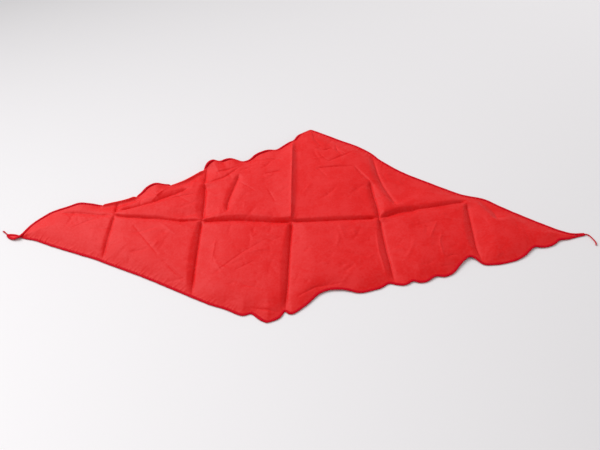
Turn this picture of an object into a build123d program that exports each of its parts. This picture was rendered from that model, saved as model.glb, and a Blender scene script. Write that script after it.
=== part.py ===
from build123d import *
from math import radians, sqrt, tan
import os

# A diamond-cut silk scarf laid flat: one thin sheet of silk, and a narrow rolled hem on each edge.
# X runs along the long diagonal, Y across it and Z up. The scarf rests on the plane z = 0.

# Driving dimensions, in millimetres.
scarf_length = 612.0  # between the two sharp corners, along X
scarf_width = 311.0  # between the two blunt corners, along Y
top_corner_offset = 10.0  # how far the far blunt corner lies right of the middle of the length
bottom_corner_offset = -36.0  # the same for the near blunt corner
left_corner_offset = -33.5  # how far the left corner lies beyond the middle of the width
right_corner_offset = -30.5  # the same for the right corner
sheet_thickness = 0.4  # the silk, thick enough to be a solid
hem_diameter = 2.0  # the rolled edge with its thread wrapping
needle_thread_diameter = 0.22
looper_thread_diameter = 0.22
tail_diameter = 0.9  # the chained-off thread at the sharp corners
ripple_height = 8.0  # the tallest ripple of the two bias-cut edges
ripple_band = 30.0  # how far in from a bias-cut edge the ripples reach

# Clearances and the way bends are drawn.
seat_gap = 0.4  # between the silk's edge and the hem
thread_gap = 0.05  # between two threads or hems end to end
side_gap = 0.25  # between the needle thread and the hem
lying_gap = 0.25  # between the needle thread and the silk's uneven top
floor_gap = 0.01  # under the looper thread
bend_share = 0.45  # of the shorter run beside a bend, taken up by its arc
band_slope = 0.5  # how fast the rippled band widens from its ends
band_end_depth = 2.5  # its depth at its ends
band_fade = 8.0  # how far from its ends the band takes to rise to the hem's height
sheet_steps = 90  # stations along each edge of the silk

hem_radius = hem_diameter / 2
needle_radius = needle_thread_diameter / 2
looper_radius = looper_thread_diameter / 2
tail_radius = tail_diameter / 2

# The origin is under the middle of everything, tails and twisted tip included, so the middle
# of the four corners lies a little off it.
middle = Vector(6.38, 0.167)
left_corner = middle + Vector(-scarf_length / 2, left_corner_offset)
right_corner = middle + Vector(scarf_length / 2, right_corner_offset)
top_corner = middle + Vector(top_corner_offset, scarf_width / 2)
bottom_corner = middle + Vector(bottom_corner_offset, -scarf_width / 2)

# How each hem strays from the straight cut between two corners: how far along the cut in percent,
# how far out from it in millimetres, and how high, as a share of ripple_height.
# The bias-cut edges ripple; the other two follow a thread of the cloth and stay nearly straight.
upper_left_shape = [
    (3.5, 9.8, 0.1),
    (10.5, 17.7, 0.25),
    (12.8, 16.2, 0.4),
    (19.2, 11.2, 0.75),
    (22.2, 5.9, 0.5),
    (24.7, 0.3, 0.1),
    (34.1, -4.1, 0),
    (37.4, -3.2, 0.1),
    (40.1, 1.4, 0.5),
    (42.6, -0.6, 0.9),
    (46.3, -8.9, 0.4),
    (51.5, -8.5, 0.1),
    (58.9, -1.6, 0.25),
    (62.1, 4.3, 0.75),
    (63.5, 3.4, 0.9),
    (65.1, -0.6, 0.5),
    (68.4, -3.3, 0.9),
    (71.8, -13.7, 0.25),
    (74.2, -14.4, 0.25),
    (77.5, -9.9, 0.5),
    (81.5, -12.4, 0.75),
    (83.9, -17.1, 0.5),
    (89.9, -11.5, 0.5),
    (91.7, -12.0, 0.4),
    (93.9, -6.4, 0.5),
    (100, 0, 0),
]
upper_right_shape = [
    (0, 0, 0),
    (16.5, 2.0, 0),
    (24.7, -0.1, 0),
    (28.4, -5.6, 0),
    (38.2, -13.0, 0),
    (53.0, -12.9, 0),
    (61.0, -12.4, 0),
    (67.0, -4.5, 0),
    (73.4, -7.8, 0),
    (92.5, -11.1, 0),
    (95.5, -9.6, 0),
]
lower_right_shape = [
    (5.7, 1.0, 0.1),
    (8.2, -0.2, 0.4),
    (10.6, 4.0, 0.25),
    (13.2, 3.7, 0.1),
    (16.8, 3.1, 0.5),
    (18.9, 4.7, 0.5),
    (21.3, 7.9, 0.25),
    (24.4, 10.1, 0.1),
    (29.5, 8.6, 0),
    (34.4, 4.3, 0.1),
    (35.8, -0.6, 0.6),
    (37.8, -2.4, 1),
    (40.8, -1.6, 0.75),
    (44.3, 4.9, 0.25),
    (47.0, 5.5, 0.1),
    (50.4, 4.2, 0.4),
    (52.9, 5.2, 0.1),
    (54.8, 3.8, 0.1),
    (56.5, 0.4, 0.4),
    (59.0, 2.4, 0.1),
    (61.2, -1.6, 0.1),
    (63.0, -7.2, 0.1),
    (66.1, -2.8, 0.1),
    (72.4, -3.8, 0.1),
    (75.6, -10.1, 0.5),
    (78.8, -13.3, 0.5),
    (83.6, -14.4, 0.4),
    (87.6, -6.9, 0.25),
    (92.7, -0.6, 0.1),
    (94.4, -5.6, 0.1),
    (96.8, 0, 0.1),
    (100, 0, 0),
]
lower_left_shape = [
    (0, 0, 0),
    (3.0, -0.4, 0),
    (6.2, -1.6, 0),
    (8.2, 2.2, 0),
    (17.0, 2.9, 0),
    (28.7, 1.1, 0),
    (47.8, -2.9, 0),
    (64.6, -3.5, 0),
    (67.7, -4.3, 0),
    (87.6, -1.2, 0),
    (94.3, -1.6, 0),
    (97.7, 0.7, 0),
]

# The left tip is half twisted: the hems cross there and run on round a small turned-over lobe.
# These points are measured from the left corner: X, Y, and the height of the hem's underside.
crossing_lift = hem_diameter + 0.6
front_lobe = [
    (-14, -2.7, 0),
    (-12.5, -5.2, 0),
    (-8.5, -7, 0.4),
    (-2.5, -2.3, crossing_lift),
    (2, 5, 1.6),
]
back_lobe = [(-2, -1, 0), (-7.5, 1.5, 0), (-14.5, 0.2, 0)]

# At the right tip the two hems close up side by side, each this far from a line between them.
# The line's points are measured from the right corner.
closed_reach = hem_radius + 2 * thread_gap
closed_line = [(-10.5, -3), (0, -0.5)]
far_side = [(x, y + closed_reach, 0) for x, y in closed_line]
near_side = [(x, y - closed_reach, 0) for x, y in reversed(closed_line)]

# The silk's own corners, inside the hems. At the sharp corners it ends where the hems close up.
left_silk_tip = left_corner + Vector(0.7, -0.3)
top_silk_corner = top_corner + Vector(0, -1.5)
right_silk_tip = right_corner + Vector(-13.2, -3.3)
bottom_silk_corner = bottom_corner + Vector(0, 1.4)

# The thread tails, from the hems' ends: X, Y, and the height of the thread's underside.
left_tail_route = [(-14.9, -1.6, 0.5), (-17.2, 2.7, 0.1), (-20, 5.5, 0), (-23.4, 8.7, 0)]
right_tail_route = [(0.8, 0.2, 0.5), (5.4, -0.6, 0.2), (8.4, -6.5, 0), (10.7, -12.7, 0), (10.1, -17.5, 0)]


def edge_points(start, end, shape):
    """The corners of a hem's centre line, between two corners of the scarf."""
    cut = end - start
    outward = Vector(-cut.Y, cut.X).normalized()
    points = []
    for along, out, height in shape:
        lift = Vector(0, 0, hem_radius + height * ripple_height)
        points.append(start + cut * (along / 100) + outward * out + lift)
    return points


def corner_points(corner, shape, radius):
    """Points given from a corner, for a round thing whose underside is at the stated height."""
    return [corner + Vector(x, y, z + radius) for x, y, z in shape]


def pull_back(points, amount):
    """The same points with the last one drawn back along its run."""
    last_run = points[-1] - points[-2]
    return points[:-1] + [points[-1] - last_run.normalized() * amount]


def meeting(first, second, radius):
    """Two routes that share an end, each drawn back until their round ends only just clear."""
    turn = (first[-1] - first[-2]).get_angle(second[1] - second[0])
    amount = radius * tan(radians(turn / 2)) + thread_gap
    reversed_second = pull_back(second[::-1], amount)
    return pull_back(first, amount), reversed_second[::-1]


def bend_radii(points):
    """The largest arc that each corner of a route has room for."""
    radii = []
    for before, corner, after in zip(points, points[1:], points[2:]):
        shorter_run = min((corner - before).length, (after - corner).length)
        turn = (corner - before).get_angle(after - corner)
        radii.append(bend_share * shorter_run / tan(radians(turn / 2)))
    return radii


def beside(points, inward, lift):
    """A route parallel to another in plan, moved towards the scarf's middle and raised."""
    shifted = []
    for i, point in enumerate(points):
        run_in = point - points[i - 1] if i > 0 else points[1] - points[0]
        run_out = points[i + 1] - point if i + 1 < len(points) else run_in
        unit_in = Vector(run_in.X, run_in.Y).normalized()
        unit_out = Vector(run_out.X, run_out.Y).normalized()
        mean = (unit_in + unit_out).normalized()
        reach = inward / mean.dot(unit_in)
        shifted.append(point + Vector(mean.Y, -mean.X) * reach + Vector(0, 0, lift))
    return shifted


def round_thread(label, points, diameter):
    """A round piece swept along straight runs joined by tangent arcs."""
    with BuildPart() as piece:
        with BuildLine() as route:
            FilletPolyline(*points, radius=bend_radii(points))
        path = route.wires()[0]
        with BuildSketch(Plane(path @ 0, z_dir=path % 0)):
            Circle(diameter / 2)
        sweep(path=path)
    piece.part.label = label
    return piece


def silk_edge(start, end, points, first_share, last_share):
    """Stations on the silk's edge beside a hem, between two shares of the cut's length:
    the distance along the cut, the distance out from it, and the height."""
    cut = end - start
    along = cut.normalized()
    outward = Vector(-along.Y, along.X)
    # Level with the top of the silk, the round hem reaches this far from its centre.
    hem_reach = sqrt(hem_radius**2 - (hem_radius - sheet_thickness) ** 2)
    with BuildLine() as route:
        FilletPolyline(*points, radius=bend_radii(points))
    path = route.wires()[0]
    stations = []
    for i in range(sheet_steps + 1):
        place = path @ (i / sheet_steps) - start
        heading = path % (i / sheet_steps)
        heading_in_plan = Vector(heading.X, heading.Y).normalized()
        inset = (hem_reach + seat_gap) / heading_in_plan.dot(along)
        share = place.dot(along) / cut.length
        if first_share <= share <= last_share:
            stations.append((place.dot(along), place.dot(outward) - inset, place.Z - hem_radius))
    return stations


def band_depth(distance, stations):
    """How far inside the cut the rippled band's inner side runs."""
    from_start = distance - stations[0][0]
    from_end = stations[-1][0] - distance
    return min(ripple_band, band_end_depth + band_slope * min(from_start, from_end))


def band_sides(start, end, stations):
    """The outer and inner side of the rippled strip between a hem and the flat middle, from below.
    At its two ends the strip lies flat, level with the middle."""
    along = (end - start).normalized()
    outward = Vector(-along.Y, along.X)
    outer_side = []
    inner_side = []
    for distance, out, height in stations:
        from_end = min(distance - stations[0][0], stations[-1][0] - distance)
        lift = Vector(0, 0, height * min(1, from_end / band_fade))
        outer_side.append(start + along * distance + outward * out + lift)
        inner_side.append(start + along * distance - outward * band_depth(distance, stations))
    return outer_side, inner_side


def flat_side(start, end, stations):
    """The silk's edge along a straight hem, where it lies flat."""
    along = (end - start).normalized()
    outward = Vector(-along.Y, along.X)
    return [start + along * distance + outward * out for distance, out, _ in stations]


def facet(*corners):
    """One flat face."""
    return Face(Wire.make_polygon(corners))


def both_skins(corners):
    """A flat face of the silk's underside, and the same face on its top."""
    thickness = Vector(0, 0, sheet_thickness)
    return [facet(*corners), facet(*[corner + thickness for corner in corners])]


def band_facets(outer_side, inner_side):
    """The rippled strip's underside and top, as triangles."""
    faces = []
    for i in range(len(outer_side) - 1):
        faces += both_skins([inner_side[i], inner_side[i + 1], outer_side[i]])
        faces += both_skins([outer_side[i], inner_side[i + 1], outer_side[i + 1]])
    return faces


def edge_facets(outline):
    """The narrow wall round the whole silk."""
    thickness = Vector(0, 0, sheet_thickness)
    following = outline[1:] + outline[:1]
    return [facet(p, q, q + thickness, p + thickness) for p, q in zip(outline, following)]


# The four hems' routes, clockwise from the left tip.
upper_left_edge = edge_points(left_corner, top_corner, upper_left_shape)
upper_right_edge = edge_points(top_corner, right_corner, upper_right_shape)
lower_right_edge = edge_points(right_corner, bottom_corner, lower_right_shape)
lower_left_edge = edge_points(bottom_corner, left_corner, lower_left_shape)
upper_left_route, upper_right_route = meeting(upper_left_edge, upper_right_edge, hem_radius)
lower_right_route, lower_left_route = meeting(lower_right_edge, lower_left_edge, hem_radius)
upper_left_route = corner_points(left_corner, front_lobe, hem_radius) + upper_left_route
upper_right_route = upper_right_route + corner_points(right_corner, far_side, hem_radius)
lower_right_route = corner_points(right_corner, near_side, hem_radius) + lower_right_route
lower_left_route = lower_left_route + corner_points(left_corner, back_lobe, hem_radius)

# The silk: a flat middle, with a rippled band of flat facets along each bias-cut edge.
upper_left_silk = silk_edge(left_corner, top_corner, upper_left_route, 0.04, 0.98)
upper_right_silk = silk_edge(top_corner, right_corner, upper_right_route, 0.01, 0.955)
lower_right_silk = silk_edge(right_corner, bottom_corner, lower_right_route, 0.045, 0.985)
lower_left_silk = silk_edge(bottom_corner, left_corner, lower_left_route, 0.01, 0.975)
upper_left_outer, upper_left_inner = band_sides(left_corner, top_corner, upper_left_silk)
lower_right_outer, lower_right_inner = band_sides(right_corner, bottom_corner, lower_right_silk)
upper_right_side = [top_silk_corner]
upper_right_side += flat_side(top_corner, right_corner, upper_right_silk)
upper_right_side += [right_silk_tip]
lower_left_side = [bottom_silk_corner]
lower_left_side += flat_side(bottom_corner, left_corner, lower_left_silk)
lower_left_side += [left_silk_tip]

# Round the flat middle, the boundary steps in from the silk's edge to the bands' inner sides.
middle_outline = upper_left_outer[:1] + upper_left_inner + upper_left_outer[-1:]
middle_outline += upper_right_side
middle_outline += lower_right_outer[:1] + lower_right_inner + lower_right_outer[-1:]
middle_outline += lower_left_side
silk_outline = upper_left_outer + upper_right_side + lower_right_outer + lower_left_side

silk_faces = both_skins(middle_outline)
silk_faces += band_facets(upper_left_outer, upper_left_inner)
silk_faces += band_facets(lower_right_outer, lower_right_inner)
silk_faces += edge_facets(silk_outline)
with BuildPart() as silk_panel:
    add(Solid(Shell(silk_faces)))
silk_panel.part.label = "silk_panel"

os.makedirs("parts", exist_ok=True)
export_step(silk_panel.part, "parts/silk_panel.step")

# Each hem is a roll of silk bound in looper thread.
hem_routes = {
    "upper_left": upper_left_route,
    "upper_right": upper_right_route,
    "lower_right": lower_right_route,
    "lower_left": lower_left_route,
}
for side, route in hem_routes.items():
    hem = round_thread(f"{side}_hem", route, hem_diameter)
    export_step(hem.part, f"parts/{side}_hem.step")


def sewn_pairs(inward, lift, radius):
    """The routes of one thread beside all four hems, short of the sharp corners' bare rolls."""
    upper_left, upper_right = meeting(upper_left_edge, upper_right_edge, inward + radius)
    lower_right, lower_left = meeting(lower_right_edge, lower_left_edge, inward + radius)
    routes = [upper_left, upper_right, lower_right, lower_left]
    return zip(hem_routes, [beside(route, inward, lift) for route in routes])


# A row of needle stitches lies on the silk just inside each hem.
needle_inward = hem_radius + needle_radius + side_gap
needle_lift = sheet_thickness + needle_radius + lying_gap - hem_radius
for side, route in sewn_pairs(needle_inward, needle_lift, needle_radius):
    needle_thread = round_thread(f"{side}_needle_thread", route, needle_thread_diameter)
    export_step(needle_thread.part, f"parts/{side}_needle_thread.step")

# A second looper thread runs along each hem's underside, between the roll and the silk.
looper_inward = 0.86 * hem_radius
looper_lift = looper_radius + floor_gap - hem_radius
for side, route in sewn_pairs(looper_inward, looper_lift, looper_radius):
    looper_thread = round_thread(f"{side}_looper_thread", route, looper_thread_diameter)
    export_step(looper_thread.part, f"parts/{side}_looper_thread.step")

# The thread tails at the two sharp corners.
tail_routes = {
    "left": corner_points(left_corner, left_tail_route, tail_radius),
    "right": corner_points(right_corner, right_tail_route, tail_radius),
}
for side, route in tail_routes.items():
    tail = round_thread(f"{side}_thread_tail", route, tail_diameter)
    export_step(tail.part, f"parts/{side}_thread_tail.step")
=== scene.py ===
"""A diamond-cut scarf of thin red silk, laid flat on a pale surface.

The silk still shows its packing folds. Its hem is a narrow roll bound in thread: straight with
small puckers on the two edges cut along a thread of the cloth, rippled on the two edges cut
across it. X runs along the scarf and Y across it, away from the camera, so the upper hems are the
far ones. The scarf lies on z = 0. Lengths are in millimetres up to the moment a mesh is made,
where MM turns them into metres; the camera, the studio and the cut of the cloth are in metres.
"""

import math

import bmesh
import bpy
import numpy as np
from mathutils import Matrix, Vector
from mathutils.bvhtree import BVHTree
from mathutils.geometry import delaunay_2d_cdt


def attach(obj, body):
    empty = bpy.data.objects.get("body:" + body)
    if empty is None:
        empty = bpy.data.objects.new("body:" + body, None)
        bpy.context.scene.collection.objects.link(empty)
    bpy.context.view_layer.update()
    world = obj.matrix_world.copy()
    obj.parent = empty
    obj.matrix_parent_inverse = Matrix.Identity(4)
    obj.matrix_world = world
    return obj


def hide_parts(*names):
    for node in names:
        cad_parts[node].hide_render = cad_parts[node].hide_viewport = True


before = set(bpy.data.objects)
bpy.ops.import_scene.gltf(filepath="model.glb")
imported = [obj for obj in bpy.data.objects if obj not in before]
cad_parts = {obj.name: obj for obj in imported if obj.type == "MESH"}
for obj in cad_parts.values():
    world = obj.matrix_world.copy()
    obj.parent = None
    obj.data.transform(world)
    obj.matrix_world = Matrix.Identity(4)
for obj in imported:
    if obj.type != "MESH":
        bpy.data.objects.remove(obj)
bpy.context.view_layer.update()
random = np.random.default_rng(11)

MM = 0.001

# The round hems and thread tails of the CAD
rolled_width = 2.0
tail_width = 0.9

# The hem and the threads as they are drawn
hem_width = 2.9
hem_height = 1.4
hem_lift = 0.05  # of the roll above the line that it is drawn round
wrap_pitch = 1.1
wrap_relief = 0.10
thread_width = 0.2
stitch_pitch = 2.2
needle_gap = 0.15  # from the hem's side to the middle of the needle's stitches
looper_swing = 0.9  # how far in from the hem's middle the looper thread goes
tail_strand_width = 0.8
tail_strand_pitch = 3.2  # the length of one full twist of the tail's strands
tail_strand_turn = 2.1  # in radians, from one strand to the next
tail_strand_loss = 0.05  # the share of the tail by which each strand is shorter than the last
floor_gap = 0.02  # the least height of any point above the floor

# The edges of the silk
line_spacing = 0.5  # of the points along an edge
tip_reach = 10  # how far from a sharp corner an edge is bent to end there
near_edge_share = 0.25  # of its height in the CAD that the near edge keeps

# The mesh of the silk
coarse_spacing = 1.4
fine_spacing = 0.8
rim_spacing = 1.1
fine_reach = 7.0  # how far in from the hems the mesh is fine
fold_fine_reach = 4.5  # the same for the packing folds
wrinkle_fine_reach = 2.2  # the same for the lesser creases
rim_clearance = 0.5  # from the inner points of the mesh to its rim
fold_clearance = 0.35  # the same to the row of points along a packing fold

# The shape of the silk
panel_height = 6.2  # of the flat panels between the folds
edge_reach = 13.0  # how far in from a hem the silk takes to rise to that height
lowest = 0.25  # of the silk above the floor
floor_firmness = 2.5  # how sharply the silk levels out there, per millimetre
fold_lens = 0.6  # the share by which a packing fold is narrower at its ends
fold_fade = 10  # the length over which a packing fold fades out at each end
fold_rounding = 0.15  # of the corners between its facets and the panels
groove_reach = 1.15  # how wide the groove along a packing fold is
wrinkle_reach = 1.0  # the same for the lesser creases
wrinkle_strength = 1.8  # what the lesser creases' listed heights are multiplied by
crumple_reach = 1.5  # how wide the faint random creases are
pucker_width = 0.85

# The stretches where the far edge rolls under and hides its hem
tuck_width = 7.0
tuck_radius = 2.4
tuck_fade = 6  # the length over which the rolling under begins and ends
tuck_round = 0.55  # the share of the width that goes round the roll
tuck_angles = (-75, 90)  # where round the roll the silk starts, under it, and leaves it, on top
tuck_inset = 2.2  # how far in beneath the silk the hem lies


# ------------------------------------------------------------------ camera


camera_place = (0.00294, -0.6894, 0.62945)
camera_dip = 43  # in degrees below level


def make_camera():
    """In front of the scarf, looking down at it with a normal lens."""
    data = bpy.data.cameras.new("camera")
    data.lens = 50
    data.sensor_width = 36
    camera = bpy.data.objects.new("camera", data)
    camera.location = camera_place
    camera.rotation_euler = (math.radians(90 - camera_dip), 0, 0)
    bpy.context.scene.collection.objects.link(camera)
    bpy.context.scene.camera = camera


make_camera()


# ------------------------------------------------------------------ lines read from the CAD hems


def mesh_edges(node_name):
    """The two ends of every edge of a CAD node's mesh."""
    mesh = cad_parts[node_name].data
    places = np.array([vertex.co for vertex in mesh.vertices]) / MM
    pairs = np.array([edge.vertices for edge in mesh.edges])
    return places[pairs[:, 0]], places[pairs[:, 1]]


def section_middle(starts, ends, place, heading, reach):
    """The middle of the cut that a plane across a tube makes in its mesh, or None past its end."""
    before = (starts - place) @ heading
    after = (ends - place) @ heading
    crossing = before * after < 0
    share = before[crossing] / (before[crossing] - after[crossing])
    hits = starts[crossing] + (ends[crossing] - starts[crossing]) * share[:, None]
    hits = hits[np.linalg.norm(hits - place, axis=1) < reach]
    if len(hits) < 6:
        return None
    return (hits.min(0) + hits.max(0)) / 2


def walk(starts, ends, place, heading, step, reach):
    """The middles of a tube's sections, from one place to its end."""
    line = [place]
    while True:
        middle = section_middle(starts, ends, line[-1] + heading * step, heading, reach)
        if middle is None:
            return line
        heading = (middle - line[-1]) / np.linalg.norm(middle - line[-1])
        line.append(middle)


def middle_line(node_name, width, step=0.7):
    """The line along the middle of a round CAD piece, from its left end to its right end."""
    starts, ends = mesh_edges(node_name)
    longest = np.argmax(np.linalg.norm(ends - starts, axis=1))
    heading = (ends[longest] - starts[longest]) / np.linalg.norm(ends[longest] - starts[longest])
    reach = 1.1 * width
    place = section_middle(starts, ends, (starts[longest] + ends[longest]) / 2, heading, reach)
    onward = walk(starts, ends, place, heading, step, reach)
    back = walk(starts, ends, place, -heading, step, reach)
    line = np.array(back[::-1] + onward[1:])
    return line if line[0][0] < line[-1][0] else line[::-1]


def distances(line):
    """How far along a line each of its points lies."""
    runs = np.linalg.norm(np.diff(line, axis=0), axis=1)
    return np.concatenate([[0], np.cumsum(runs)])


def smooth_step(values):
    """From 0 to 1 with level ends."""
    values = np.clip(values, 0, 1)
    return values * values * (3 - 2 * values)


def part_of(line, first, last, spacing):
    """The stretch of a line between two distances along it, evenly spaced."""
    along = distances(line)
    places = np.linspace(first, last, max(2, round((last - first) / spacing)) + 1)
    return np.stack([np.interp(places, along, axis) for axis in line.T], axis=1)


def resample(line, spacing):
    """The same line with evenly spaced points."""
    return part_of(line, 0, distances(line)[-1], spacing)


def soften(line, reach):
    """The same evenly spaced line with its corners rounded; its two ends stay where they are."""
    spacing = distances(line)[-1] / (len(line) - 1)
    count = int(3 * reach / spacing)
    weights = np.exp(-0.5 * (np.arange(-count, count + 1) * spacing / reach) ** 2)
    weights /= weights.sum()
    before = 2 * line[0] - line[count:0:-1]
    after = 2 * line[-1] - line[-2 : -count - 2 : -1]
    padded = np.vstack([before, line, after])
    return np.stack([np.convolve(axis, weights, "valid") for axis in padded.T], axis=1)


def joined_line(first, second):
    """One smooth line through two hems that meet at a blunt corner, and how far along that is."""
    line = np.vstack([first, second])
    meeting = distances(line)[len(first) - 1 : len(first) + 1].mean()
    return soften(resample(line, line_spacing), 0.9), meeting


def brought_to(line, left_end, right_end):
    """The same line with its last stretches bent so that it ends at two given places."""
    along = distances(line)
    left_share = smooth_step(1 - along / tip_reach)[:, None]
    right_share = smooth_step(1 - (along[-1] - along) / tip_reach)[:, None]
    left_shift = np.array(left_end) - line[0]
    right_shift = np.array(right_end) - line[-1]
    return line + left_share * left_shift + right_share * right_shift


def nudged(line, nudges):
    """The same line moved in Y by soft steps, each with its middle X, its reach and its size."""
    line = line.copy()
    for middle, reach, size in nudges:
        line[:, 1] += size * np.exp(-(((line[:, 0] - middle) / reach) ** 2))
    return line


def laid_flatter(line, share):
    """The same line with its height above the floor made less. It slides back as it sinks."""
    line = line.copy()
    drop = (1 - share) * np.maximum(line[:, 2] - rolled_width / 2, 0)
    line[:, 2] -= drop
    line[:, 1] += drop
    return line


# The nudges of the two edges: the middle X, the reach along X, and the size.
upper_nudges = [
    (0, 400, 1.2),
    (-301, 3.5, -2.2),
    (-288, 9, 1.2),
    (-247, 8, 1.0),
    (-197, 14, -1.8),
    (-118, 14, -0.9),
    (0, 8, 1.2),
    (22, 30, 2.4),
    (73, 14, 1.8),
    (284, 16, 1.2),
]
lower_nudges = [
    (-72, 10, 1.6),
    (-45, 7, 3.2),
    (-12.5, 3, 3.0),
    (30, 16, 2.8),
    (145, 6, 1.8),
    (184, 9, 4.4),
    (255, 6, 2.0),
]

# Where the edges end at the sharp corners. They cross just before the left one.
upper_tips = (-316.2, -32.4, 1), (313.8, -30.0, 1)
lower_tips = (-316.4, -31.5, 1), (313.6, -31.0, 1)

hem_lines = {
    side: middle_line(f"{side}_hem", rolled_width)
    for side in ("upper_left", "upper_right", "lower_left", "lower_right")
}
upper_line, top_place = joined_line(hem_lines["upper_left"], hem_lines["upper_right"])
lower_line, bottom_place = joined_line(hem_lines["lower_left"], hem_lines["lower_right"])
upper_line = nudged(upper_line, upper_nudges)
lower_line = laid_flatter(nudged(lower_line, lower_nudges), near_edge_share)
upper_line = brought_to(upper_line, *upper_tips)
lower_line = brought_to(lower_line, *lower_tips)

# The drawn hem is flatter than the CAD's round one, so its middle lies lower and further back.
hem_drop = (rolled_width - hem_height) / 2 - hem_lift
upper_line += [0, 2 * hem_drop, -hem_drop]
lower_line += [0, 0.5 * hem_drop, -hem_drop]

upper_end = distances(upper_line)[-1]
lower_end = distances(lower_line)[-1]
hem_stretches = {
    "upper_left": (upper_line, 0, top_place),
    "upper_right": (upper_line, top_place, upper_end),
    "lower_left": (lower_line, 0, bottom_place),
    "lower_right": (lower_line, bottom_place, lower_end),
}


# ------------------------------------------------------------------ folds and creases


def along_and_aside(points, line):
    """For each point, how far along a line in plan its nearest place is, and how far left of the
    line the point lies (negative to the right)."""
    best = np.full(len(points), np.inf)
    along = np.zeros(len(points))
    aside = np.zeros(len(points))
    travelled = 0.0
    for start, end in zip(line[:-1], line[1:]):
        run = end - start
        length = np.hypot(*run)
        share = np.clip(((points - start) @ run) / length**2, 0, 1)
        offset = points - start - share[:, None] * run
        distance = np.hypot(offset[:, 0], offset[:, 1])
        nearer = distance < best
        side = np.sign(run[0] * offset[:, 1] - run[1] * offset[:, 0])
        best[nearer] = distance[nearer]
        along[nearer] = travelled + share[nearer] * length
        aside[nearer] = (side * distance)[nearer]
        travelled += length
    return along, aside, travelled


def near_line(points, line, reach):
    """The indexes of the points inside the box round a line, which is widened by reach."""
    low, high = line.min(0) - reach, line.max(0) + reach
    return np.flatnonzero(((points > low) & (points < high)).all(axis=1))


def fold_line(line):
    """The smooth line that a packing fold follows."""
    return soften(resample(np.array(line, float), 3), 3)


def fold(points, line, height, reaches, groove):
    """A packing fold along a line, raised if height is positive and sunk if it is negative.

    Its two sides are flat facets, as wide as reaches says left and right of the line, and narrower
    towards its ends. A groove, or a small ridge, runs along its middle.
    """
    line = fold_line(line)
    near = near_line(points, line, max(reaches) + 6)
    z = np.zeros(len(points))
    along, aside, length = along_and_aside(points[near], line)
    narrowing = 1 - fold_lens + fold_lens * np.sin(math.pi * along / length)
    reach = np.where(aside > 0, reaches[0], reaches[1]) * narrowing
    level = 1 - np.abs(aside) / reach
    rounded = level + np.sqrt(level**2 + fold_rounding**2)
    facets = rounded / (1 + math.hypot(1, fold_rounding))
    taper = smooth_step(along / fold_fade) * smooth_step((length - along) / fold_fade)
    z[near] = taper * (height * facets + groove * np.exp(-np.abs(aside) / groove_reach))
    return z


def crease(points, line, height):
    """A short sharp wrinkle along a line, which fades out at its ends."""
    smooth_line = soften(resample(np.array(line, float), 2), 2)
    near = near_line(points, smooth_line, 8)
    z = np.zeros(len(points))
    along, aside, length = along_and_aside(points[near], smooth_line)
    taper = np.sin(math.pi * np.clip(along / length, 0, 1)) ** 0.6
    z[near] = height * taper * np.exp(-np.abs(aside) / wrinkle_reach)
    return z


def bump(points, middle, height, radii, turn):
    """A soft rise, or a dimple if height is negative."""
    angle = math.radians(turn)
    offset = points - np.array(middle)
    along = offset[:, 0] * math.cos(angle) + offset[:, 1] * math.sin(angle)
    across = offset[:, 1] * math.cos(angle) - offset[:, 0] * math.sin(angle)
    return height * np.exp(-((along / radii[0]) ** 2) - (across / radii[1]) ** 2)


# The packing folds: the line, the height, how wide the facets left and right of the line are, and
# the height of the groove along it. The long fold comes first, from left to right: five
# stretches, and one that deepens the start of the last. The folds that cross it run away from the
# camera, those of the near half first, and the last two lie slanting in the far panels.
packing_folds = [
    ([(-266, 1), (-238, -1), (-203, -5)], -1.2, (5, 8), -0.8),
    ([(-207, -2), (-193, -7), (-152, -8), (-130, -12), (-104, -11)], -1.2, (4, 8), -2.4),
    ([(-109, -11), (-64, -9), (-9, -13), (-2, -12)], -3.6, (6, 12), -2.6),
    ([(-9, -13), (35, -11), (92, -7)], -2.0, (4, 10), -2.8),
    ([(88, -8), (115, 5), (150, 12), (194, 23)], -2.0, (5, 15), -2.2),
    ([(92, -6), (108, 2), (138, 9)], -1.9, (6.5, 16), 0),
    ([(-207, -84), (-205, -44), (-203, -2)], -1.1, (4, 16), -1.5),
    ([(-107, -132), (-107, -70), (-106, -9)], -3.0, (8, 30), -2.6),
    ([(-12, -150), (-10, -108), (-8, -52), (-6, -11)], -3.2, (8, 24), -2.8),
    ([(102, -112), (95, -56), (91, -6)], -3.0, (7.5, 34), -2.4),
    ([(196, -78), (192, -48), (192, -13), (192, 20)], -3.6, (9, 22), -2.2),
    ([(223, -14), (221, 4), (213, 22), (203, 34)], -3.6, (9, 22), 0),
    ([(-203, -4), (-204, 24)], -1.0, (3, 6), -2.6),
    ([(-105, -13), (-106, 38), (-108, 54)], -3.0, (10, 24), -3.2),
    ([(-108, 48), (-107, 96)], -1.6, (8, 12), -2.4),
    ([(-7, -15), (-7, 43), (-6, 138)], 3.0, (24, 6.5), 1.2),
    ([(91, -13), (90, 12), (87, 31), (84, 56)], -2.6, (7, 8), -2.4),
    ([(113, 12), (105, 34), (99, 51), (95, 69), (93, 88), (91, 110)], -3.2, (9, 60), -2.4),
    ([(-201, 3), (-180, 13), (-162, 21), (-144, 32), (-124, 45)], -2.2, (7, 6), -1.2),
    ([(-79, 0), (-79, 19), (-68, 69)], -1.8, (6, 10), -1.6),
]

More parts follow.
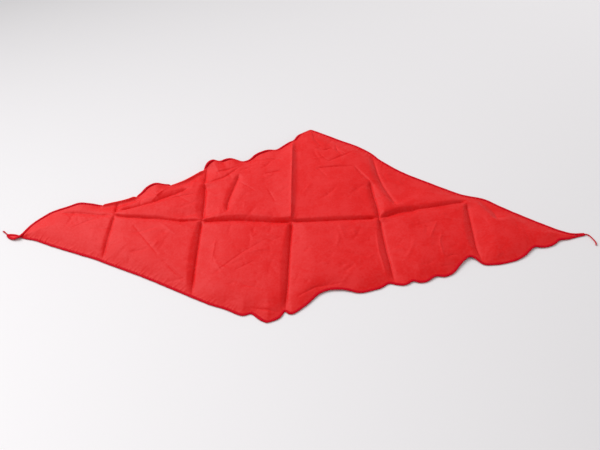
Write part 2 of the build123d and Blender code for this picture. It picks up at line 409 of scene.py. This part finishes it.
# Lesser creases: the line, and the height.
wrinkles = [
    ([(-159, 20), (-111, 35)], -0.5),
    ([(-166, 21), (-150, 44)], 0.6),
    ([(-96, 71), (-71, 81)], -0.8),
    ([(-104, 53), (-86, 62), (-67, 82)], -0.9),
    ([(-67, 53), (-49, 37)], -0.4),
    ([(-38, 68), (-17, 73)], -0.8),
    ([(-51, 96), (-17, 94)], -0.8),
    ([(-34, 40), (-25, 18)], -0.4),
    ([(22, 119), (32, 113), (43, 119)], -0.9),
    ([(21, 115), (33, 96), (51, 86)], -0.5),
    ([(35, 123), (63, 104)], -0.8),
    ([(36, 90), (66, 111)], -0.8),
    ([(46, 125), (49, 111), (56, 102)], -0.8),
    ([(22, 77), (46, 81), (68, 81)], -1.0),
    ([(13, 153), (30, 119)], -0.4),
    ([(67, 82), (76, 67), (85, 53)], -1.3),
    ([(-181, -20), (-147, -67)], -0.5),
    ([(-139, -77), (-115, -104)], -0.6),
    ([(-247, -25), (-211, -1)], -0.4),
    ([(-89, -97), (-58, -64), (-32, -42)], -0.35),
    ([(-65, -90), (-44, -76)], -0.35),
    ([(-58, -109), (-36, -115)], -0.4),
    ([(-88, -42), (-90, -76)], 0.35),
    ([(0, -124), (19, -110), (49, -104)], -0.9),
    ([(158, -70), (164, -65), (171, -65), (178, -71)], -0.6),
    ([(150, -82), (162, -79)], -0.4),
    ([(157, -30), (153, -48), (155, -72)], 0.4),
    ([(94, -106), (87, -62), (86, -30)], 0.4),
    ([(154, -14), (143, -42)], 0.4),
    ([(208, 40), (216, 25)], -0.6),
    ([(226, -71), (249, -55)], -0.6),
    ([(-47, -138), (-12, -145)], -0.8),
]

# Soft hollows and swellings of the panels: the middle, the height, two radii and the turn.
swellings = [
    ((-128, -3), -1.6, (26, 8), 8),
    ((228, -12), 1.0, (20, 16), 0),
    ((150, -30), 0.8, (30, 20), 0),
    ((120, -60), 0.8, (26, 22), 30),
    ((162, -45), -1.0, (16, 24), 20),
    ((-160, -50), 0.8, (26, 30), 30),
    ((-60, -60), 0.8, (34, 40), 0),
    ((40, -50), 0.8, (36, 34), 0),
    ((-55, 40), 0.7, (26, 34), 0),
    ((45, 50), 0.8, (30, 36), 0),
    ((130, 46), -1.4, (24, 32), 25),
]


def creased(points):
    """How much the folds, wrinkles, hollows and swellings raise or lower the silk."""
    z = np.zeros(len(points))
    for line, height, reaches, groove in packing_folds:
        z += fold(points, line, height, reaches, groove)
    for line, height in wrinkles:
        z += crease(points, line, wrinkle_strength * height)
    for middle, height, radii, turn in swellings:
        z += bump(points, middle, height, radii, turn)
    return z


def unevenness(points, count, radii, heights):
    """Many soft low swellings and hollows."""
    z = np.zeros(len(points))
    low, high = points.min(0), points.max(0)
    for _ in range(count):
        radius = random.uniform(*radii)
        height = random.uniform(*heights) * random.choice([-1, 1])
        middle = random.uniform(low, high)
        turn = random.uniform(0, 180)
        z += bump(points, middle, height, (radius, 0.6 * radius), turn)
    return z


def crumple(points, count, lengths, heights):
    """Many short faint creases in every direction, more of them sunk than raised."""
    z = np.zeros(len(points))
    low, high = points.min(0), points.max(0)
    for _ in range(count):
        middle = random.uniform(low, high)
        length = random.uniform(*lengths)
        angle = random.uniform(0, math.pi)
        height = random.uniform(*heights) * random.choice([-1, 1, -1])
        bow = random.uniform(-0.012, 0.012)
        offset = points - middle
        near = np.flatnonzero(np.hypot(offset[:, 0], offset[:, 1]) < length)
        along = offset[near] @ np.array([math.cos(angle), math.sin(angle)])
        across = offset[near] @ np.array([-math.sin(angle), math.cos(angle)]) + bow * along**2
        taper = smooth_step(1.2 - np.abs(along) / (0.5 * length))
        z[near] += height * taper * np.exp(-np.abs(across) / crumple_reach)
    return z


# ------------------------------------------------------------------ the silk


left_join = -296.0  # left of this the silk is a narrow strip, half twisted
right_close = 303.5  # here the two hems close up
strip_end = -315.6
strip_columns = 30
strip_rows = 14

# Where the straight hems pucker, in distances along the near edge and the far edge.
near_puckers = (20, bottom_place - 6)
far_puckers = (top_place + 6, upper_end - 30)

# Where the rippled far edge rolls under, from one X to another.
tucked_stretches = [(-223, -181), (-150, -108)]


def edge_height(along_low, aside_low, along_up, aside_up):
    """The height that the two nearest hems give the silk between them."""
    low_height = np.interp(along_low, distances(lower_line), lower_line[:, 2])
    up_height = np.interp(along_up, distances(upper_line), upper_line[:, 2])
    low_weight = 1 / (np.abs(aside_low) + 0.3) ** 2
    up_weight = 1 / (np.abs(aside_up) + 0.3) ** 2
    return (low_height * low_weight + up_height * up_weight) / (low_weight + up_weight)


def puckers(along, aside, first, last):
    """Small gathers along a straight hem, which lean a little and get lower along it."""
    z = np.zeros(len(along))
    place = first
    while place < last:
        reach = random.uniform(3, 8)
        height = random.uniform(0.22, 0.85) * (1 - 0.5 * (place - first) / (last - first))
        lean = random.uniform(0, 0.8)
        near = np.flatnonzero((np.abs(along - place) < 8) & (np.abs(aside) < 22))
        across = along[near] - place - lean * np.abs(aside[near])
        inward = np.abs(aside[near])
        z[near] += height * np.exp(-((across / pucker_width) ** 2)) * np.exp(-inward / reach)
        place += random.uniform(2.6, 8)
    return z


def tucked(x):
    """How far the far edge is rolled under at X: 0 not at all, 1 fully."""
    amount = np.zeros(len(x))
    for first, last in tucked_stretches:
        amount += smooth_step((x - first) / tuck_fade) * smooth_step((last - x) / tuck_fade)
    return amount


def silk_heights(points, along_low, aside_low, along_up, aside_up):
    """The heights of the silk at places in plan, with no edge rolled under."""
    inward = np.minimum(np.abs(aside_low), np.abs(aside_up))
    z = creased(points)
    z += unevenness(points, count=90, radii=(14, 40), heights=(0.2, 0.6))
    z += crumple(points, count=420, lengths=(8, 38), heights=(0.15, 0.8))
    z += crumple(points, count=900, lengths=(4, 13), heights=(0.12, 0.4))
    held = np.exp(-((inward / edge_reach) ** 1.5))
    z = panel_height * (1 - held) + z * (1 - held**2)
    z += edge_height(along_low, aside_low, along_up, aside_up) * held
    z = lowest + np.logaddexp(0, floor_firmness * (z - lowest)) / floor_firmness
    z += puckers(along_low, aside_low, *near_puckers)
    z += puckers(along_up, aside_up, *far_puckers)
    return np.maximum(z, lowest)


def rolled_under(points, z, amount, along_up, aside_up):
    """The places of the silk in space, with its far edge rolled under by an amount from 0 to 1.

    From the edge inwards, the surface goes up round a small roll and settles back to its height.
    """
    depth = np.abs(aside_up)
    share = np.clip(depth / tuck_width, 0, 1)
    first, last = tuck_angles
    angle = np.radians(first + (last - first) * np.clip(share / tuck_round, 0, 1))
    settling = smooth_step((share - tuck_round) / (1 - tuck_round))
    rolled_depth = tuck_radius * (1 - np.cos(angle)) * (1 - settling) + depth * settling
    rolled_z = lowest + tuck_radius * (1 + np.sin(angle)) * (1 - settling) + (z - lowest) * settling
    slopes = np.gradient(upper_line[:, 0]), np.gradient(upper_line[:, 1])
    inward = np.column_stack([slopes[1], -slopes[0]])
    inward /= np.linalg.norm(inward, axis=1)[:, None]
    nearest = np.clip(np.searchsorted(distances(upper_line), along_up), 0, len(upper_line) - 1)
    shift = inward[nearest] * (amount * (rolled_depth - depth))[:, None]
    return np.column_stack([points + shift, z + amount * (rolled_z - z)])


def silk_surface_places(points):
    """The places of the silk's surface in space, from places in plan."""
    along_low, aside_low, _ = along_and_aside(points, lower_line[::4, :2])
    along_up, aside_up, _ = along_and_aside(points, upper_line[::4, :2])
    z = silk_heights(points, along_low, aside_low, along_up, aside_up)
    by_far_edge = (np.abs(aside_up) < tuck_width) & (np.abs(aside_low) > tuck_width)
    return rolled_under(points, z, tucked(points[:, 0]) * by_far_edge, along_up, aside_up)


def hem_path(line, first, last):
    """The line that a hem follows: under the silk where the edge is rolled under."""
    path = part_of(line, first, last, line_spacing)
    if line is upper_line:
        amount = tucked(path[:, 0])[:, None]
        forward = np.gradient(path, axis=0)
        forward /= np.linalg.norm(forward, axis=1)[:, None]
        inward = np.column_stack([forward[:, 1], -forward[:, 0], np.zeros(len(path))])
        path = path + tuck_inset * inward * amount
        path[:, 2:] += (rolled_width / 2 - path[:, 2:]) * amount
    return path


def between_tips(line):
    """The stretch of an edge that the broad part of the silk has, in plan."""
    line = resample(line, rim_spacing)
    return line[(line[:, 0] > left_join + 0.3) & (line[:, 0] < right_close), :2]


def lattice(spacing, low, up):
    """Staggered places inside the outline."""
    low_order, up_order = np.argsort(low[:, 0]), np.argsort(up[:, 0])
    places = []
    row = 0
    y = low[:, 1].min()
    while y < up[:, 1].max():
        x = np.arange(left_join + 0.6 + (row % 2) * spacing / 2, right_close, spacing)
        floor_y = np.interp(x, low[low_order, 0], low[low_order, 1])
        roof_y = np.interp(x, up[up_order, 0], up[up_order, 1])
        inside = (y > floor_y) & (y < roof_y)
        places.append(np.stack([x[inside], np.full(inside.sum(), y)], axis=1))
        y += spacing * math.sqrt(0.75)
        row += 1
    return np.vstack(places)


def at_x(line, x):
    """The places on a line that runs left to right, at the given values of x."""
    return np.stack([x, *(np.interp(x, line[:, 0], axis) for axis in line.T[1:])], axis=1)


def away(points, line):
    """How far each point is from a line in plan."""
    return np.abs(along_and_aside(points, line)[1])


def away_from_folds(points):
    """How far each point is from the nearest packing fold, up to a few millimetres. A lesser
    crease counts as further off than it is, so that its fine strip is narrower."""
    distance = np.full(len(points), 2 * fold_fine_reach)
    lines = [(fold_line(line), 0) for line, *_ in packing_folds]
    narrower = fold_fine_reach - wrinkle_fine_reach
    lines += [(np.array(line, float), narrower) for line, _ in wrinkles]
    for line, margin in lines:
        near = near_line(points, line, fold_fine_reach)
        distance[near] = np.minimum(distance[near], away(points[near], line) + margin)
    return distance


def fold_places(closed_rim):
    """Places along the packing folds, so that the mesh has a row of vertices on each one."""
    places = np.vstack([resample(fold_line(line), fine_spacing) for line, *_ in packing_folds])
    return places[away(places, closed_rim) > 2 * rim_clearance]


def broad_silk():
    """The silk right of the twisted tip: its vertices and faces.

    Its rim runs anticlockwise along the middle of the hems. Inside it the mesh is fine near the
    rim and the folds and coarse elsewhere, with no point so near to either that it makes slivers.
    """
    low, up = between_tips(lower_line), between_tips(upper_line)[::-1]
    seam_ends = at_x(lower_line, np.array([left_join])), at_x(upper_line, np.array([left_join]))
    shares = np.linspace(0, 1, strip_rows)[:, None]
    seam = (seam_ends[1] + (seam_ends[0] - seam_ends[1]) * shares)[:, :2]
    rim = np.vstack([seam, low, up])
    coarse = lattice(coarse_spacing, low, up)
    fine = lattice(fine_spacing, low, up)
    closed_rim = np.vstack([rim, rim[:1]])[::2]
    from_edge, from_fold = away(coarse, closed_rim), away_from_folds(coarse)
    coarse = coarse[(from_edge > fine_reach) & (from_fold > fold_fine_reach)]
    from_edge, from_fold = away(fine, closed_rim), away_from_folds(fine)
    fine_part = (from_edge < fine_reach) | (from_fold < fold_fine_reach)
    fine = fine[fine_part & (from_edge > rim_clearance) & (from_fold > fold_clearance)]
    inner = np.vstack([coarse, fine, fold_places(closed_rim)])
    ring = [(i, (i + 1) % len(rim)) for i in range(len(rim))]
    places = [Vector(place) for place in np.vstack([rim, inner])]
    plan, _, faces, *_ = delaunay_2d_cdt(places, ring, [list(range(len(rim)))], 1, 1e-4)
    plan = np.array(plan)
    return silk_surface_places(plan), [tuple(face) for face in faces]


def twisted_strip(seam_heights):
    """The narrow strip of silk left of left_join. The two hems cross there, so it turns over."""
    x = np.linspace(strip_end, left_join, strip_columns)
    low, up = at_x(lower_line, x), at_x(upper_line, x)
    shares = np.linspace(0, 1, strip_rows)
    grid = up[:, None] + (low - up)[:, None] * shares[None, :, None]
    settling = smooth_step(1 - (left_join - x) / 5)
    grid[:, :, 2] += (seam_heights - grid[-1, :, 2]) * settling[:, None]
    faces = []
    for i in range(strip_columns - 1):
        for j in range(strip_rows - 1):
            corner = i * strip_rows + j
            faces.append((corner, corner + 1, corner + strip_rows + 1, corner + strip_rows))
    return grid.reshape(-1, 3), faces


def mesh_piece(name, vertices, faces):
    """A smooth-shaded object from vertices in millimetres."""
    vertices = np.array(vertices)
    vertices[:, 2] = np.maximum(vertices[:, 2], floor_gap)
    mesh = bpy.data.meshes.new(name)
    mesh.from_pydata(vertices * MM, [], faces)
    mesh.validate()
    piece = bpy.data.objects.new(name, mesh)
    bpy.context.scene.collection.objects.link(piece)
    mesh.shade_smooth()
    return piece


def make_silk():
    """The whole sheet: the broad silk and the twisted strip, welded at the seam between them."""
    broad, broad_faces = broad_silk()
    seam = np.flatnonzero(np.abs(broad[:, 0] - left_join) < 1e-3)
    seam = seam[np.argsort(-broad[seam, 1])]
    strip, strip_faces = twisted_strip(broad[seam, 2])
    shifted = [tuple(corner + len(broad) for corner in face) for face in strip_faces]
    silk = mesh_piece("silk", np.vstack([broad, strip]), broad_faces + shifted)
    bm = bmesh.new()
    bm.from_mesh(silk.data)
    bmesh.ops.remove_doubles(bm, verts=bm.verts, dist=0.02 * MM)
    bm.to_mesh(silk.data)
    bm.free()
    return silk


silk = make_silk()
silk_surface = BVHTree.FromObject(silk, bpy.context.evaluated_depsgraph_get())


def on_silk(places):
    """The heights of the silk's top surface at places in plan, or None off the silk."""
    heights = []
    for x, y in places * MM:
        hit = silk_surface.ray_cast(Vector((x, y, 0.1)), Vector((0, 0, -1)))[0]
        heights.append(None if hit is None else hit.z / MM)
    return heights


# ------------------------------------------------------------------ hems and threads


def directions(line):
    """Unit vectors along, to the left of and above a line, at each of its points."""
    forward = np.gradient(line, axis=0)
    forward /= np.linalg.norm(forward, axis=1)[:, None]
    left = np.cross([0, 0, 1], forward)
    left /= np.linalg.norm(left, axis=1)[:, None]
    return forward, left, np.cross(forward, left)


def tube(line, radii, sides):
    """A closed tube round a line. radii says how far out each side of each ring is, first across
    the line and then up."""
    _, left, above = directions(line)
    angles = np.linspace(0, 2 * math.pi, sides, endpoint=False)
    across = radii[0] * np.cos(angles)
    upward = radii[1] * np.sin(angles)
    rings = line[:, None] + across[..., None] * left[:, None] + upward[..., None] * above[:, None]
    count = len(line)
    faces = []
    for i in range(count - 1):
        for j in range(sides):
            k = (j + 1) % sides
            faces.append((i * sides + j, i * sides + k, (i + 1) * sides + k, (i + 1) * sides + j))
    faces.append(tuple(range(sides - 1, -1, -1)))
    faces.append(tuple(range((count - 1) * sides, count * sides)))
    return rings.reshape(-1, 3), faces


def joined(parts):
    """Several meshes as one."""
    vertices, faces = [], []
    count = 0
    for part_vertices, part_faces in parts:
        vertices.append(part_vertices)
        faces += [tuple(corner + count for corner in face) for face in part_faces]
        count += len(part_vertices)
    return np.vstack(vertices), faces


def wandering(along, spacing, spread):
    """A random value that drifts along a line, to a new one at every spacing."""
    count = int(along[-1] / spacing) + 3
    return np.interp(along, spacing * np.arange(count), random.normal(0, spread, count))


def hem_mesh(line):
    """A flattened roll with thread wound round it in close turns."""
    sides = 12
    line = resample(line, wrap_pitch / 5) + [0, 0, hem_lift]
    along = distances(line)
    angles = np.linspace(0, 2 * math.pi, sides, endpoint=False)
    phase = math.pi * along / wrap_pitch + wandering(along, 4, 0.9)
    ridge = wrap_relief * np.abs(np.cos(phase[:, None] + angles[None, :] / 2))
    plump = 1 + 0.06 * wandering(along, 5, 1)[:, None]
    across = hem_width / 2 * plump - wrap_relief + ridge
    upward = hem_height / 2 * plump - wrap_relief + ridge
    return tube(line, (across, upward), sides)


def beside(line, inward):
    """A line moved sideways in plan, to the left if inward is positive."""
    _, left, _ = directions(line)
    return line + left * inward


def round_tube(line, width, sides=6):
    """A closed round tube of one width."""
    radii = np.full((len(line), sides), width / 2)
    return tube(line, (radii, radii), sides)


def stitches_mesh(line, inward):
    """The needle thread: a short stitch on the silk, a dip through it, and the next stitch."""
    route = resample(beside(line, inward), stitch_pitch)
    rings = 7
    parts = []
    for start, end in zip(route[:-1], route[1:]):
        stitch = start + (end - start) * np.linspace(0.12, 0.88, rings)[:, None]
        heights = on_silk(stitch[:, :2])
        if None in heights:
            continue
        arch = np.sin(np.linspace(0, math.pi, rings)) ** 0.5
        stitch[:, 2] = np.array(heights) - 0.6 * thread_width + 0.9 * thread_width * arch
        parts.append(round_tube(stitch, thread_width))
    return joined(parts)


def looper_mesh(line, inward):
    """The thread under the hem, which swings from side to side between the stitches."""
    line = resample(line, 0.28)
    along = distances(line)
    swing = inward * (0.75 + 0.25 * np.cos(2 * math.pi * along / stitch_pitch))
    _, left, _ = directions(line)
    route = line + left * swing[:, None]
    route[:, 2] += (thread_width - hem_height) / 2 + 0.02
    return round_tube(route, thread_width, 5)


def strand(line, offset, turn):
    """The line that one strand of a twisted thread follows, offset from the thread's middle."""
    along = distances(line)
    _, left, above = directions(line)
    angle = 2 * math.pi * along / tail_strand_pitch + turn
    sideways = left * (offset * np.cos(angle))[:, None]
    return line + sideways + above * (offset * np.sin(angle))[:, None]


def tail_mesh(line, free_end_first):
    """A chained-off thread: three strands of unlike lengths twisted together, which part at the
    free end."""
    if free_end_first:
        line = line[::-1]
    line = soften(resample(line, 0.15), 0.8)
    line[:, 2] = np.maximum(line[:, 2], 1.3 * tail_strand_width)
    parts = []
    for i in range(3):
        part = line[: int(len(line) * (1 - tail_strand_loss * i))]
        from_end = distances(part)[-1] - distances(part)
        spread = 0.3 + 0.3 * np.exp(-from_end / 1.2)
        route = strand(part, spread, i * tail_strand_turn)
        parts.append(round_tube(route, tail_strand_width, 7))
    return joined(parts)


# On which side of each hem the silk lies, left (1) or right (-1) of a line from left to right, and
# the distances along the edge between which the hem's threads run.
inward_side = {"upper_left": -1, "upper_right": -1, "lower_left": 1, "lower_right": 1}
thread_ends = {
    "upper_left": (18, top_place - 1),
    "upper_right": (top_place + 1, upper_end - 14),
    "lower_left": (16, bottom_place - 1),
    "lower_right": (bottom_place + 1, lower_end - 14),
}


# ------------------------------------------------------------------ materials


def new_material(name):
    """A material, its node tree and its shader."""
    material = bpy.data.materials.new(name)
    material.use_nodes = True
    tree = material.node_tree
    return material, tree, tree.nodes["Principled BSDF"]


def node(tree, kind, inputs=None, **settings):
    """A node with some of its inputs linked, if given a socket, or set."""
    made = tree.nodes.new(kind)
    for key, value in settings.items():
        setattr(made, key, value)
    for key, value in (inputs or {}).items():
        if isinstance(value, bpy.types.NodeSocket):
            tree.links.new(value, made.inputs[key])
        else:
            made.inputs[key].default_value = value
    return made


def maths(tree, operation, *values):
    """The outcome of a Math node."""
    return node(tree, "ShaderNodeMath", dict(enumerate(values)), operation=operation).outputs[0]


def mapped(tree, place, **inputs):
    """A place after a Mapping node."""
    return node(tree, "ShaderNodeMapping", {"Vector": place, **inputs}).outputs["Vector"]


def noise(tree, place, scale, detail, distortion=0, **settings):
    """The values of a Noise Texture node."""
    inputs = {"Vector": place, "Scale": scale, "Detail": detail, "Distortion": distortion}
    return node(tree, "ShaderNodeTexNoise", inputs, **settings).outputs["Fac"]


def relief(tree, height, strength, depth, below=None):
    """The normal of a relief so many millimetres deep, on top of the relief below it."""
    inputs = {"Height": height, "Strength": strength, "Distance": depth * MM}
    if below is not None:
        inputs["Normal"] = below
    return node(tree, "ShaderNodeBump", inputs).outputs[0]


def ramp(tree, factor, low, high, colours):
    """A mix of two colours, as a factor goes from low to high."""
    share = node(tree, "ShaderNodeMapRange", {"Value": factor, "From Min": low, "From Max": high})
    mix = node(tree, "ShaderNodeMix", {"Factor": share.outputs["Result"]}, data_type="RGBA")
    mix.inputs["A"].default_value = (*colours[0], 1)
    mix.inputs["B"].default_value = (*colours[1], 1)
    return mix.outputs["Result"]


weave_turn = math.radians(-28)  # from X to the thread that the straight hems follow
weave_pitch = 0.24 * MM


def weave_heights(tree, turned):
    """The crossing threads of the weave, with slubs along one of the two directions."""
    axes = node(tree, "ShaderNodeSeparateXYZ", {"Vector": turned})
    waves = []
    for axis in ("X", "Y"):
        turns = maths(tree, "MULTIPLY", axes.outputs[axis], 2 * math.pi / weave_pitch)
        waves.append(maths(tree, "SINE", turns))
    weave = maths(tree, "MULTIPLY", *waves)
    slubs = noise(tree, mapped(tree, turned, Scale=(60, 1400, 1)), scale=1.0, detail=3)
    return maths(tree, "MULTIPLY_ADD", slubs, 0.6, weave)


def silk_material():
    """Thin red silk: a faintly cloudy colour, partly random tone and partly painted sheen, and a
    relief of weave, mottle and crush lines.
    """
    material, tree, shader = new_material("red_silk")
    place = node(tree, "ShaderNodeTexCoord").outputs["Object"]
    grain = noise(tree, place, scale=420, detail=4)
    cloudy = noise(tree, place, scale=60, detail=3)
    crush_lines = noise(tree, place, 75, 3, distortion=0.7, noise_type="RIDGED_MULTIFRACTAL")
    # The two shades differ mostly in green and blue. The whiter one, which the noise mixes in, is
    # painted sheen over the silk's own random tone.
    tone_and_sheen_shades = (0.76, 0.0003, 0.0008), (0.785, 0.0125, 0.0135)
    colour = ramp(tree, maths(tree, "ADD", grain, cloudy), 0.85, 1.15, tone_and_sheen_shades)
    tree.links.new(colour, shader.inputs["Base Color"])
    weave = weave_heights(tree, mapped(tree, place, Rotation=(0, 0, weave_turn)))
    woven = relief(tree, weave, strength=0.35, depth=0.02)
    mottled = relief(tree, grain, strength=0.6, depth=0.18, below=woven)
    crushed = relief(tree, crush_lines, strength=0.7, depth=0.32, below=mottled)
    tree.links.new(crushed, shader.inputs["Normal"])
    shader.inputs["Roughness"].default_value = 0.55
    shader.inputs["Specular IOR Level"].default_value = 0.26
    shader.inputs["Sheen Weight"].default_value = 0.04
    shader.inputs["Sheen Roughness"].default_value = 0.4
    shader.inputs["Sheen Tint"].default_value = (1, 0.35, 0.35, 1)
    return material


def thread_material(name, painted_gap_shade, light, roughness):
    """Twisted thread: fine slanting fibres, with painted shade in the gaps and a painted highlight
    on top.
    """
    material, tree, shader = new_material(name)
    place = node(tree, "ShaderNodeTexCoord").outputs["Object"]
    stretched = mapped(tree, place, Rotation=(0, 0, 0.6), Scale=(900, 5200, 2600))
    fibres = noise(tree, stretched, scale=1.0, detail=3)
    # The fibre noise puts the painted gap shade in the low places and the painted highlight on the
    # tops.
    tree.links.new(ramp(tree, fibres, 0.3, 0.7, (painted_gap_shade, light)), shader.inputs["Base Color"])
    fibrous = relief(tree, fibres, strength=0.6, depth=0.05)
    tree.links.new(fibrous, shader.inputs["Normal"])
    shader.inputs["Roughness"].default_value = roughness
    shader.inputs["Specular IOR Level"].default_value = 0.06
    return material


silk_finish = silk_material()
# For each thread, the first colour is painted shade for the gaps between its fibres and the second
# is a painted highlight for their tops.
hem_finish = thread_material("hem_thread", (0.52, 0.0005, 0.008), (0.69, 0.002, 0.016), 0.6)
needle_finish = thread_material("needle_thread", (0.45, 0.004, 0.01), (0.70, 0.012, 0.02), 0.45)
looper_finish = thread_material("looper_thread", (0.50, 0.002, 0.010), (0.75, 0.006, 0.022), 0.5)


# ------------------------------------------------------------------ the pieces in place


def settle(piece, material, node_name):
    """Gives a piece its finish, and lets it stand for its CAD node."""
    piece.data.materials.append(material)
    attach(piece, "root")
    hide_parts(node_name)
    return piece


settle(silk, silk_finish, "silk_panel")
for side, (line, first, last) in hem_stretches.items():
    vertices, faces = hem_mesh(hem_path(line, first, last))
    piece = mesh_piece(f"{side}_rolled_hem", vertices, faces)
    settle(piece, hem_finish, f"{side}_hem")
for side, (first, last) in thread_ends.items():
    line = hem_path(hem_stretches[side][0], first, last)
    vertices, faces = stitches_mesh(line, (hem_width / 2 + needle_gap) * inward_side[side])
    piece = mesh_piece(f"{side}_needle_stitches", vertices, faces)
    settle(piece, needle_finish, f"{side}_needle_thread")
    vertices, faces = looper_mesh(line, looper_swing * inward_side[side])
    piece = mesh_piece(f"{side}_looper_stitches", vertices, faces)
    settle(piece, looper_finish, f"{side}_looper_thread")
for side in ("left", "right"):
    line = middle_line(f"{side}_thread_tail", tail_width, step=0.5)
    vertices, faces = tail_mesh(line, free_end_first=side == "left")
    piece = mesh_piece(f"{side}_chained_tail", vertices, faces)
    settle(piece, hem_finish, f"{side}_thread_tail")


# ------------------------------------------------------------------ studio


floor_colour = (0.842, 0.824, 0.840)
floor_reach = 20  # from the middle to each side

# The floor's colour carries painted light: it is a little brighter towards the near left and the
# far right. These are the changes in how bright it is over a metre: towards the right, away from
# the camera, and for both at once.
gain_right = 0.083
gain_away = -0.372
gain_both = 1.08


def clamped(tree, value, low, high):
    """A value that goes no further than two limits."""
    limits = {"Value": value, "Min": low, "Max": high}
    return node(tree, "ShaderNodeClamp", limits).outputs[0]


def make_floor():
    """A plain pale floor with painted light: its colour is scaled a little brighter or darker from
    one side to the other.
    """
    material, tree, shader = new_material("pale_floor")
    place = node(tree, "ShaderNodeTexCoord").outputs["Object"]
    axes = node(tree, "ShaderNodeSeparateXYZ", {"Vector": place})
    x = clamped(tree, axes.outputs["X"], -0.5, 0.5)
    y = clamped(tree, axes.outputs["Y"], -0.3, 0.5)
    # Painted light: the scale worked out here makes the floor's colour brighter towards the near
    # left and the far right.
    gain_here = maths(tree, "MULTIPLY_ADD", x, gain_both, gain_away)
    middle_brightness = maths(tree, "MULTIPLY_ADD", x, gain_right, 1.0)
    painted_light_level = maths(tree, "MULTIPLY_ADD", y, gain_here, middle_brightness)
    inputs = {"Vector": floor_colour, "Scale": painted_light_level}
    colour = node(tree, "ShaderNodeVectorMath", inputs, operation="SCALE")
    tree.links.new(colour.outputs["Vector"], shader.inputs["Base Color"])
    shader.inputs["Roughness"].default_value = 0.8
    shader.inputs["Specular IOR Level"].default_value = 0.2
    mesh = bpy.data.meshes.new("floor")
    far = floor_reach
    corners = [(-far, -far, 0), (far, -far, 0), (far, far, 0), (-far, far, 0)]
    mesh.from_pydata(corners, [], [(0, 1, 2, 3)])
    mesh.materials.append(material)
    floor = bpy.data.objects.new("floor", mesh)
    bpy.context.scene.collection.objects.link(floor)


def make_window_light(place, size, power):
    """A square soft box that faces the middle of the scarf."""
    data = bpy.data.lights.new("window", "AREA")
    data.size = size
    data.energy = power
    light = bpy.data.objects.new("window", data)
    light.location = place
    light.rotation_euler = (-Vector(place)).to_track_quat("-Z", "Y").to_euler()
    bpy.context.scene.collection.objects.link(light)


def make_world(level):
    """An even, nearly white light from all round."""
    world = bpy.data.worlds.new("world")
    world.use_nodes = True
    background = world.node_tree.nodes["Background"]
    background.inputs["Color"].default_value = (1, 0.995, 0.99, 1)
    background.inputs["Strength"].default_value = level
    bpy.context.scene.world = world


make_floor()
make_window_light(place=(-0.86, 0.675, 1.125), size=1.15, power=18.6)
make_world(level=0.54)
bpy.context.scene.view_settings.view_transform = "Standard"
